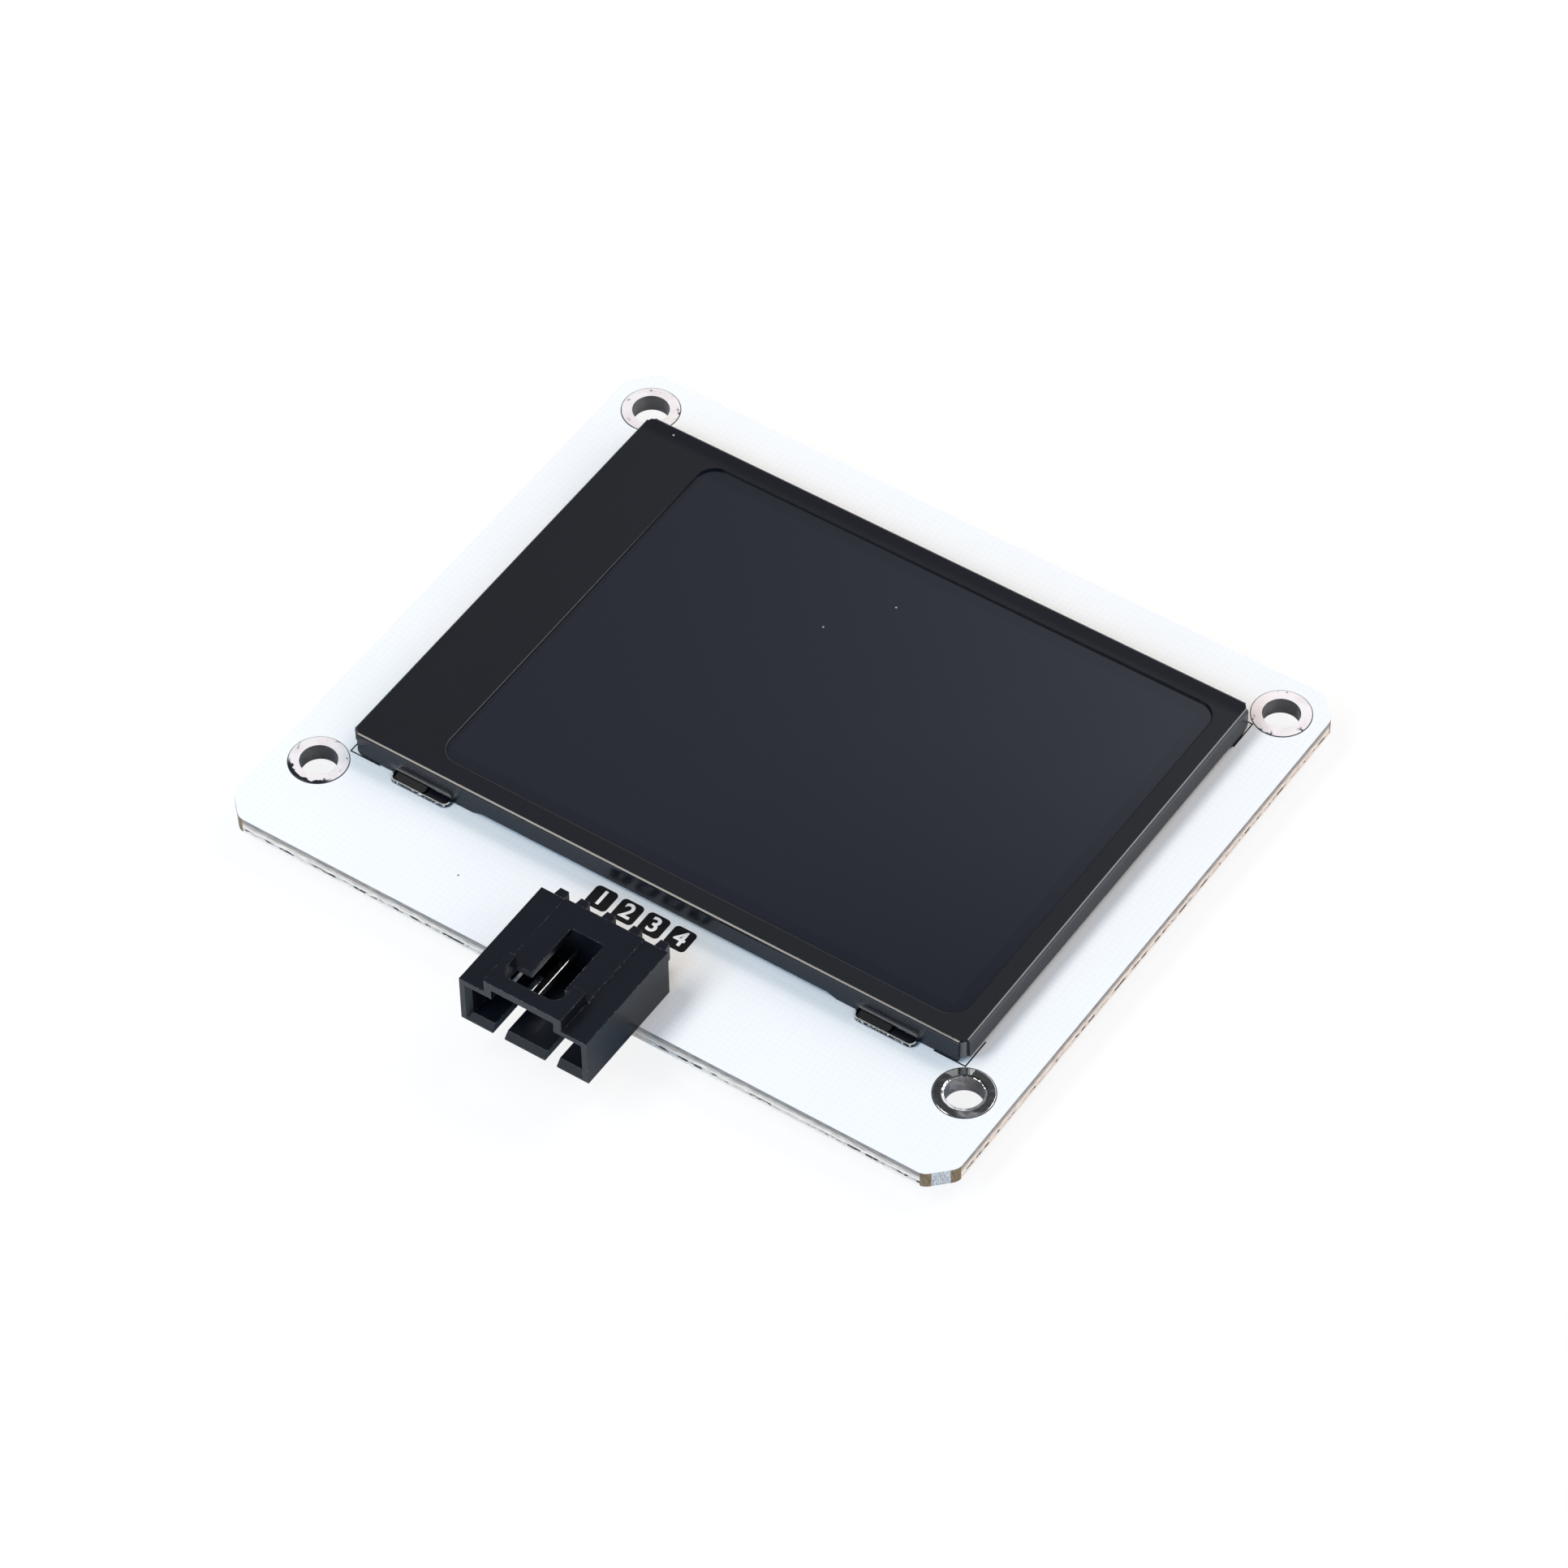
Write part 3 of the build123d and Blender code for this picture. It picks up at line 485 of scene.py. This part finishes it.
def bezel_surface():
    """Satin black coating on thin sheet, bare on the pockets' cut rims."""
    s = Surface("black_steel", (0.0055, 0.0070, 0.0105), 0.3, IOR=1.5)
    out = s.reach(s.y)
    brow = s.both(s.span(out, *brow_reach), s.span(s.z, *brow_levels))
    s.rounded(s.span(brow, 0.0, 1.0, millimetres(0.05), millimetres(0.14)))
    upright = s.upright(0.3, 0.1)
    rim = pocket_rim(s, out)
    s.paint(s.mix(rim, coat_colour(s, upright, brow), rim_steel(s, out)))
    s.set("Metallic", s.math("MULTIPLY", rim, 0.5))
    s.set("Specular IOR Level", coat_gloss(s, out, upright, brow))
    # Blue-tinted reflections on the upright walls: painted reflection of the bluish board.
    s.set("Specular Tint", s.mix(upright, (1.0, 1.0, 1.0), (0.76, 0.88, 1.0)))
    flat = s.span(s.reach(s.reach(s.normal_z), 0.5), 0.44, 0.49)
    fine = s.noise(millimetres(0.07), 3.0)
    s.set("Roughness", s.math("ADD", s.span(flat, 0.0, 1.0, 0.14, 0.28),
                              s.span(fine, 0.3, 0.7, -0.02, 0.03)))
    s.bump(fine, millimetres(0.0012), 0.5)
    return s


def screen_surface():
    """The dark front film, a touch lighter where the picture area is."""
    picture_colour = (0.0133, 0.0148, 0.0230)
    s = Surface("dark_polariser", picture_colour, 0.08, IOR=1.5)
    half_x = screen_high.x - screen_middle.x - picture_border
    half_y = screen_high.y - picture_border
    picture = s.both(s.span(s.reach(s.x, screen_middle.x), half_x, half_x - picture_blur),
                     s.span(s.reach(s.y), half_y, half_y - picture_blur))
    colour = s.mix(picture, (0.0112, 0.0126, 0.0205), picture_colour)
    for place in screen_specks:
        colour = s.mix(s.speck(place, screen_speck_size), colour, (0.40, 0.40, 0.44))
    s.paint(colour)
    s.vary_roughness(s.noise(millimetres(9.0)), 0.07, 0.10)
    s.bump(s.noise(millimetres(0.05), 2.0), millimetres(0.0005), 0.4)
    return s


def moulded_surface(name, colour, edge_dot_colour, roughness, relief=0.004, **sockets):
    """Moulded plastic with a fine grain, its edges paler and spotted with pale dots."""
    s = Surface(name, colour, roughness, IOR=1.5, **sockets)
    s.rounded(millimetres(0.07))
    cloud = s.noise(millimetres(1.6), 3.0)
    edge = s.wear(millimetres(0.16), 0.03, 0.20)
    dots = s.both(edge, s.span(s.noise(millimetres(0.22), 2.0), 0.53, 0.65))
    plain = s.mix(cloud, colour, shaded(colour, 0.8))
    pale = s.mix(s.both(edge, cloud), plain, shaded(colour, 4.0))
    s.paint(s.mix(dots, pale, edge_dot_colour))
    fine = s.noise(millimetres(0.09), 4.0, 0.6)
    s.vary_roughness(fine, roughness - 0.05, roughness + 0.08)
    s.bump(fine, millimetres(relief), 0.7)
    return s


def moulding_surface():
    """Glossy dark plastic, paler and glossier in the open corners of the frame as a painted
    reflection.
    """
    s = moulded_surface("dark_moulding", (0.0040, 0.0046, 0.0070), grey(0.02), 0.34, 0.001)
    # The open corners are painted paler and given more gloss: painted reflection.
    corner = s.both(*(s.span(s.reach(value), limit, limit + corner_blur)
                      for value, limit in zip((s.x, s.y), corner_reach)))
    s.paint(s.mix(corner, s.colour, (0.150, 0.147, 0.142)))
    s.set("Specular IOR Level", s.span(corner, 0.0, 1.0, 0.09, 0.5))
    return s


def housing_surface():
    """The header's black plastic, with a cool gloss that is stronger on its front faces."""
    s = moulded_surface("black_housing", (0.0048, 0.0060, 0.0105), (0.17, 0.17, 0.175), 0.36,
                        Specular_Tint=(0.84, 0.92, 1.0, 1.0))
    front = s.span(s.normal_y, -0.3, -0.7)
    s.set("Specular IOR Level", s.span(front, 0.0, 1.0, 0.24, 0.44))
    return s


# Small parts, films and ink

tipped_cap_share = 0.3125
crystal_lid_levels = millimetres(-0.34, -0.36)


def tipped_surface(name, body, axis, roughness=0.35):
    """A chip part: a ceramic body with tinned caps at both ends of one axis."""
    s = Surface(name, body, roughness)
    s.rounded(millimetres(0.04))
    split = s.add("ShaderNodeSeparateXYZ", {"Vector": s.share})
    from_middle = s.reach(split.outputs[axis], 0.5)
    cap = s.span(from_middle, tipped_cap_share - 0.006, tipped_cap_share + 0.006)
    grain = s.noise(millimetres(0.1), 4.0)
    s.paint(s.mix(cap, s.mix(grain, body, shaded(body, 0.8)), (0.78, 0.77, 0.75)))
    s.set("Metallic", cap)
    s.vary_roughness(grain, roughness - 0.05, roughness + 0.1)
    s.bump(grain, millimetres(0.005), 0.6)
    return s


def crystal_surface():
    """A plated lid on a dark ceramic base."""
    s = Surface("crystal_can", (0.75, 0.74, 0.70), 0.3)
    s.rounded(millimetres(0.05))
    lid = s.span(s.z, *crystal_lid_levels)
    grain = s.noise(millimetres(0.15), 4.0)
    s.paint(s.mix(lid, (0.30, 0.29, 0.27), (0.78, 0.76, 0.70)))
    s.set("Metallic", lid)
    s.vary_roughness(grain, 0.25, 0.4)
    s.bump(grain, millimetres(0.004), 0.5)
    return s


def film_surface(name, colour, roughness, **sockets):
    """A thin film or plate of the display's inside."""
    s = Surface(name, colour, roughness, **sockets)
    cloud = s.noise(millimetres(2.0), 3.0)
    s.paint(s.mix(cloud, colour, shaded(colour, 0.9)))
    s.vary_roughness(cloud, roughness * 0.85, roughness * 1.15)
    s.bump(s.noise(millimetres(0.2)), millimetres(0.003), 0.5)
    return s


def ink_surface(name, colour, roughness, **sockets):
    """Screen-printed ink with a slightly ragged thickness."""
    s = Surface(name, colour, roughness, **sockets)
    cloud = s.noise(millimetres(0.25), 4.0)
    pale = tuple(min(1.0, channel) for channel in shaded(colour, 1.5))
    s.paint(s.mix(s.span(cloud, 0.45, 0.8), colour, pale))
    s.vary_roughness(cloud, roughness - 0.08, roughness + 0.08)
    s.bump(cloud, millimetres(0.006), 0.6)
    return s


# Materials on the CAD nodes

def dress(surface, *names):
    """Puts a material on CAD nodes."""
    for name in names:
        mesh = nodes[name].data
        mesh.materials.clear()
        mesh.materials.append(surface.material)


def named(start="", end=""):
    """The CAD nodes whose names start and end in a given way."""
    return [name for name in nodes if name.startswith(start) and name.endswith(end)]


capacitor_body = (0.42, 0.29, 0.17)
resistor_body = (0.016, 0.016, 0.018)
lead_tin = tin_surface("lead_tin", (0.95, 0.90, 0.89), 0.12, 0.24, 0.008)
pin_tin = tin_surface("pin_tin", (0.85, 0.84, 0.82), 0.10, 0.18, 0.004, 0.14)
solder = tin_surface("solder", (0.78, 0.78, 0.79), 0.12, 0.24, 0.03)
package_black = moulded_surface("package_black", (0.018, 0.018, 0.019), grey(0.06), 0.55)
clear_acrylic = film_surface("clear_acrylic", (0.90, 0.93, 0.94), 0.1, Transmission_Weight=0.9)
clear_film = film_surface("clear_film", (0.90, 0.92, 0.94), 0.4, Transmission_Weight=0.5)
silver_film = film_surface("silver_film", (0.85, 0.86, 0.87), 0.15, metallic=1.0)
black_tape = film_surface("black_tape", grey(0.012), 0.6)
white_tape = film_surface("white_tape", (0.74, 0.74, 0.70), 0.6)
display_glass = film_surface("display_glass", (0.80, 0.86, 0.87), 0.06,
                             Transmission_Weight=0.9, IOR=1.5)
amber_flex = film_surface("amber_flex", (0.38, 0.14, 0.02), 0.3)
lamp_body = film_surface("lamp_body", (0.86, 0.80, 0.48), 0.4)
bare_silicon = film_surface("bare_silicon", (0.09, 0.095, 0.11), 0.12)

dress(board_surface(), "circuit_board")
dress(pad_surface(), *named("plated_hole"))
dress(flowed_pad_surface(), "plated_hole_front_right")
dress(lead_tin, *named(end="_leads"))
dress(pin_tin, *named("header_pin"))
dress(solder, *named("pin_solder"))
dress(bezel_surface(), "bezel_frame")
dress(screen_surface(), "front_polariser", "rear_polariser")
dress(housing_surface(), "header_housing")
dress(package_black, *named(end="_package"))
dress(moulding_surface(), "backlight_moulding")
dress(crystal_surface(), "clock_crystal")
for start, body in (("capacitor_", capacitor_body), ("resistor_", resistor_body)):
    for name in named(start):
        low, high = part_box(name)
        axis = "X" if high.x - low.x > high.y - low.y else "Y"
        dress(tipped_surface(name, body, axis), name)
dress(clear_acrylic, "light_guide")
dress(clear_film, "diffuser_film", "lower_prism_film", "upper_prism_film")
dress(silver_film, "reflector_film")
dress(black_tape, "rim_tape")
dress(white_tape, "mounting_tape_front", "mounting_tape_back")
dress(display_glass, "array_glass", "filter_glass")
dress(amber_flex, "lamp_strip", "display_flex")
dress(lamp_body, *named("backlight_lamp"))
dress(bare_silicon, "display_driver_chip")


# Printed marks on the board

ink_thickness = millimetres(0.02)
ink_top = board_top + ink_thickness
mark_reach = millimetres(0.1)
mark_leg = millimetres(3.0)
mark_line = millimetres(0.11)
label_count = 4
label_left = millimetres(-4.73)
label_pitch = millimetres(2.54)
label_width = millimetres(2.08)
label_front = millimetres(-24.175)
label_depth = millimetres(2.25)
label_radius = millimetres(0.4)
digit_height = millimetres(1.55)
digit_share = 0.72
digit_weight = millimetres(0.045)
black_ink = ink_surface("black_ink", (0.0050, 0.0052, 0.0065), 0.5, Specular_IOR_Level=0.2)
white_ink = ink_surface("white_ink", (0.90, 0.91, 0.92), 0.45)


def prisms(name, outlines):
    """One mesh of flat ink on the board's top over closed outlines in plan."""
    points, faces = [], []
    for outline in outlines:
        count = len(outline)
        start = len(points)
        points += [(x, y, board_top) for x, y in outline]
        points += [(x, y, ink_top) for x, y in outline]
        faces.append([start + count + i for i in range(count)])
        faces.append([start + i for i in reversed(range(count))])
        for i in range(count):
            j = (i + 1) % count
            faces.append([start + i, start + j, start + count + j, start + count + i])
    mesh = bpy.data.meshes.new(name)
    mesh.from_pydata(points, [], faces)
    mesh.update()
    return link(bpy.data.objects.new(name, mesh))


def finish_piece(piece, surface):
    """Gives a new piece its material and the body that it rides on."""
    piece.data.materials.clear()
    piece.data.materials.append(surface.material)
    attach(piece, "root")


def rounded_outline(left, front, width, depth, radius, steps=6):
    """The outline of a rectangle with rounded corners."""
    corners = (
        (left + width - radius, front + depth - radius, 0),
        (left + radius, front + depth - radius, 90),
        (left + radius, front + radius, 180),
        (left + width - radius, front + radius, 270),
    )
    outline = []
    for x, y, start in corners:
        for step in range(steps + 1):
            angle = math.radians(start + 90 * step / steps)
            outline.append((x + radius * math.cos(angle), y + radius * math.sin(angle)))
    return outline


def corner_outline(side_x, side_y):
    """The outline of the L-shaped line at one corner of the display's place."""
    x = (bezel_high.x if side_x > 0 else bezel_low.x) + side_x * mark_reach
    y = side_y * (wall_plane + mark_reach)
    inner_x, inner_y = x - side_x * mark_line, y - side_y * mark_line
    end_x, end_y = x - side_x * mark_leg, y - side_y * mark_leg
    outline = [(x, y), (x, end_y), (inner_x, end_y), (inner_x, inner_y), (end_x, inner_y), (end_x, y)]
    return outline if side_x * side_y < 0 else outline[::-1]


def digit(number, left):
    """One printed digit in the middle of the label box that starts at a given place."""
    text = bpy.data.curves.new(f"contact_number_{number}", "FONT")
    text.body = str(number)
    text.align_x = "CENTER"
    text.align_y = "CENTER"
    text.size = digit_height / digit_share
    text.extrude = ink_thickness / 4
    text.offset = digit_weight
    writing = link(bpy.data.objects.new(text.name, text))
    writing.location = (left + label_width / 2, label_front + label_depth / 2, ink_top)
    bpy.context.view_layer.update()
    written = writing.evaluated_get(bpy.context.evaluated_depsgraph_get())
    mesh = bpy.data.meshes.new_from_object(written)
    mesh.transform(writing.matrix_world)
    bpy.data.objects.remove(writing)
    return link(bpy.data.objects.new(f"contact_number_{number}", mesh))


corner_marks = [corner_outline(side_x, side_y) for side_x in (-1, 1) for side_y in (-1, 1)]
finish_piece(prisms("corner_marks", corner_marks), black_ink)

label_places = [label_left + index * label_pitch for index in range(label_count)]
labels = [rounded_outline(left, label_front, label_width, label_depth, label_radius)
          for left in label_places]
finish_piece(prisms("contact_labels", labels), black_ink)

for index, left in enumerate(label_places):
    finish_piece(digit(index + 1, left), white_ink)


# Floor, lamps and surroundings

floor_reach = 3.0
floor_white = 0.97
shadow_share = 0.14
lamps = {
    "side_softbox": {"from": (-0.42, -0.37, 0.83), "long": (0.0, 1.0, 0.0), "size": (0.20, 0.74),
                     "radiance": 7.1, "colour": (1.0, 0.96, 0.90), "mirrored": True},
    "back_softbox": {"from": (0.20, 0.539, 0.82), "long": (1.0, 0.0, 0.0), "size": (0.16, 0.38),
                     "radiance": 4.6, "colour": (1.0, 0.99, 0.98), "mirrored": True},
    "warm_fill": {"from": (0.25, 0.60, 0.76), "long": (1.0, 0.0, 0.0), "size": (0.40, 0.40),
                  "radiance": 1.8, "colour": (1.0, 0.60, 0.25), "mirrored": False},
    "cool_fill": {"from": (-0.10, -0.77, 0.63), "long": (1.0, 0.0, 0.0), "size": (0.50, 0.50),
                  "radiance": 2.3, "colour": (0.12, 0.55, 1.0), "mirrored": False},
}
lamp_distance = 0.7
backdrop_colour = (0.93, 0.96, 1.02, 1.0)
backdrop_across = (0.829, 0.559, 0.0)
backdrop_from = -0.10
backdrop_to = 0.07
backdrop_curve = 3.0
backdrop_dark = 0.23
backdrop_bright = 0.97
ceiling_share = 0.12
ceiling_low = 0.7530
ceiling_high = 0.7800


def floor_material():
    """Matt white paper, white to the camera except for a soft shadow under the part."""
    material = bpy.data.materials.new("floor_paper")
    material.use_nodes = True
    material.node_tree.nodes.clear()
    graph = Graph(material.node_tree)
    rays = graph.add("ShaderNodeLightPath").outputs
    seen = graph.math("ADD", rays["Is Camera Ray"], rays["Is Transmission Ray"])
    share = graph.math("MULTIPLY", seen, 1.0 - shadow_share)
    paper = graph.add("ShaderNodeBsdfDiffuse", {"Color": (*grey(floor_white), 1.0)}).outputs[0]
    glow = graph.add("ShaderNodeEmission", {"Color": (*grey(1.0), 1.0)}).outputs[0]
    shown = graph.add("ShaderNodeMixShader", {0: share, 1: paper, 2: glow}).outputs[0]
    below = graph.add("ShaderNodeNewGeometry").outputs["Backfacing"]
    clear = graph.add("ShaderNodeBsdfTransparent").outputs[0]
    sides = graph.add("ShaderNodeMixShader", {0: below, 1: shown, 2: clear}).outputs[0]
    graph.add("ShaderNodeOutputMaterial", {"Surface": sides})
    return material


def add_floor():
    """A wide sheet of paper at the level that the part stands on."""
    mesh = bpy.data.meshes.new("floor")
    corners = [(-floor_reach, -floor_reach, lowest), (floor_reach, -floor_reach, lowest),
               (floor_reach, floor_reach, lowest), (-floor_reach, floor_reach, lowest)]
    mesh.from_pydata(corners, [], [(0, 1, 2, 3)])
    mesh.update()
    mesh.materials.append(floor_material())
    link(bpy.data.objects.new("floor", mesh))


def add_lamp(name, lamp):
    """A rectangular softbox turned to the part, its second size along the lamp's long axis."""
    light = bpy.data.lights.new(name, "AREA")
    light.shape = "RECTANGLE"
    light.size, light.size_y = lamp["size"]
    light.energy = math.pi * light.size * light.size_y * lamp["radiance"]
    light.color = lamp["colour"]
    direction = Vector(lamp["from"]).normalized()
    side = Vector(lamp["long"]).cross(direction).normalized()
    axes = Matrix((side, direction.cross(side), direction)).transposed()
    softbox = link(bpy.data.objects.new(name, light))
    softbox.location = direction * lamp_distance
    softbox.rotation_euler = axes.to_euler()
    softbox.visible_camera = False
    softbox.visible_glossy = lamp["mirrored"]


def add_backdrop():
    """Surroundings that brighten from one side to the other under a dim ceiling."""
    world = bpy.data.worlds.new("studio")
    bpy.context.scene.world = world
    world.use_nodes = True
    sky = Graph(world.node_tree)
    heading = sky.add("ShaderNodeTexCoord").outputs["Generated"]
    height = sky.add("ShaderNodeSeparateXYZ", {0: heading}).outputs["Z"]
    sideways = sky.add("ShaderNodeVectorMath", {0: heading, 1: backdrop_across},
                       operation="DOT_PRODUCT").outputs["Value"]
    along = sky.span(sideways, backdrop_from, backdrop_to, curve="LINEAR")
    curved = sky.math("POWER", along, backdrop_curve)
    level = sky.span(curved, 0.0, 1.0, backdrop_dark, backdrop_bright, curve="LINEAR")
    ceiling = sky.span(height, ceiling_low, ceiling_high, 1.0, ceiling_share)
    background = world.node_tree.nodes["Background"]
    sky.plug(background.inputs["Color"], backdrop_colour)
    sky.plug(background.inputs["Strength"], sky.math("MULTIPLY", level, ceiling))


add_floor()
for name, lamp in lamps.items():
    add_lamp(name, lamp)
add_backdrop()

bpy.context.scene.view_settings.view_transform = "Standard"
